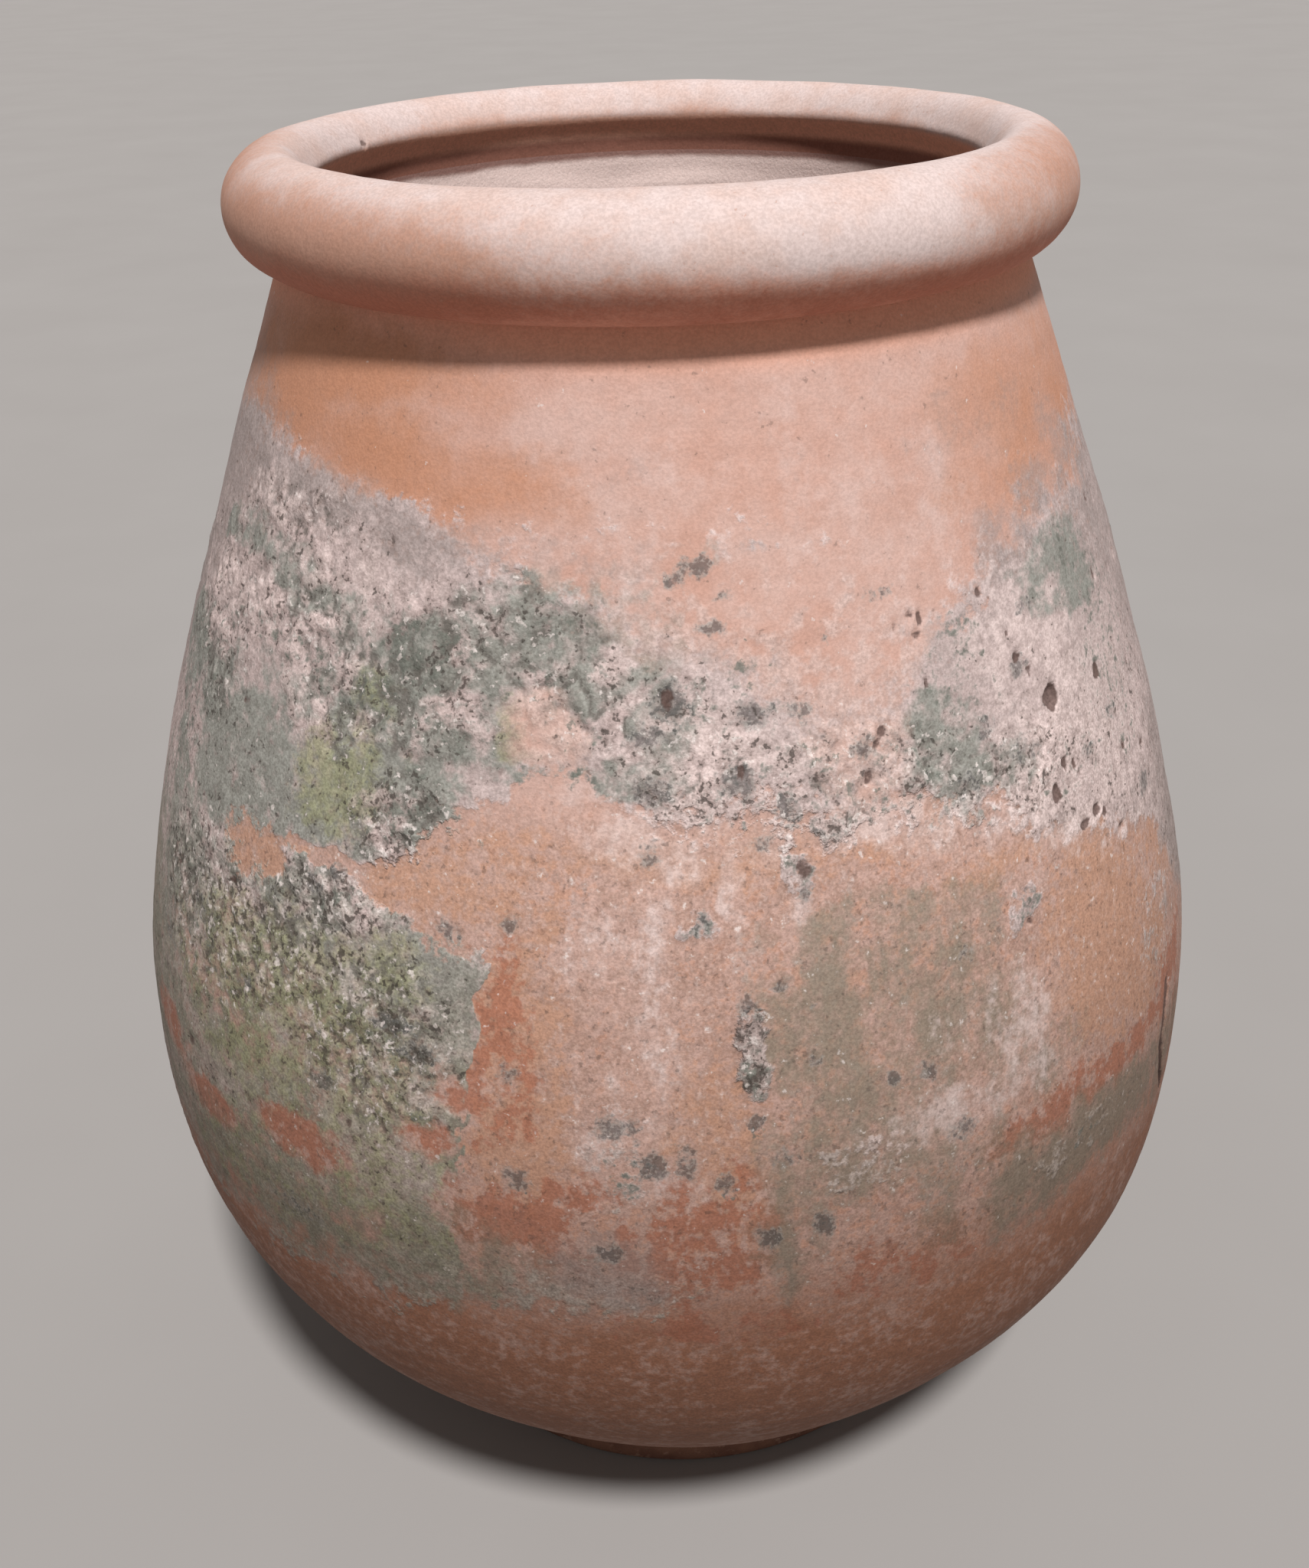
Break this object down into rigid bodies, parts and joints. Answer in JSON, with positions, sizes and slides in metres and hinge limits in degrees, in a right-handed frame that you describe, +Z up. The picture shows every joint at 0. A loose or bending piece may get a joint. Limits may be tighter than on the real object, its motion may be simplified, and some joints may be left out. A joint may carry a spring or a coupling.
{
  "type": "olive jar",
  "caption": "Tall hand-built unglazed clay storage jar, egg-shaped on a narrow flat foot, with an open mouth and a thick rolled rim.",
  "frame": {"origin": "middle of the flat underside of the foot, on the jar's axis", "axes": "+Z up along the jar's axis, -Y towards the pictured front, +X to the right seen from the front"},
  "size_m": [0.4964, 0.4964, 0.6],
  "materials": {
    "wall_clay": "unglazed fired clay with old lime and lichen crust, matt",
    "rim_clay": "unglazed fired clay, pale and worn smooth, matt",
    "base_clay": "unglazed fired clay, darkened by damp, matt"
  },
  "bodies": {
    "root": {"base_disc": "base_clay", "corner_coil": "base_clay", "foot_wall": "wall_clay", "belly_wall": "wall_clay", "shoulder_wall": "wall_clay", "upper_wall": "wall_clay", "collar_wall": "wall_clay", "neck_wall": "wall_clay", "rolled_rim": "rim_clay"}
  },
  "joints": []
}
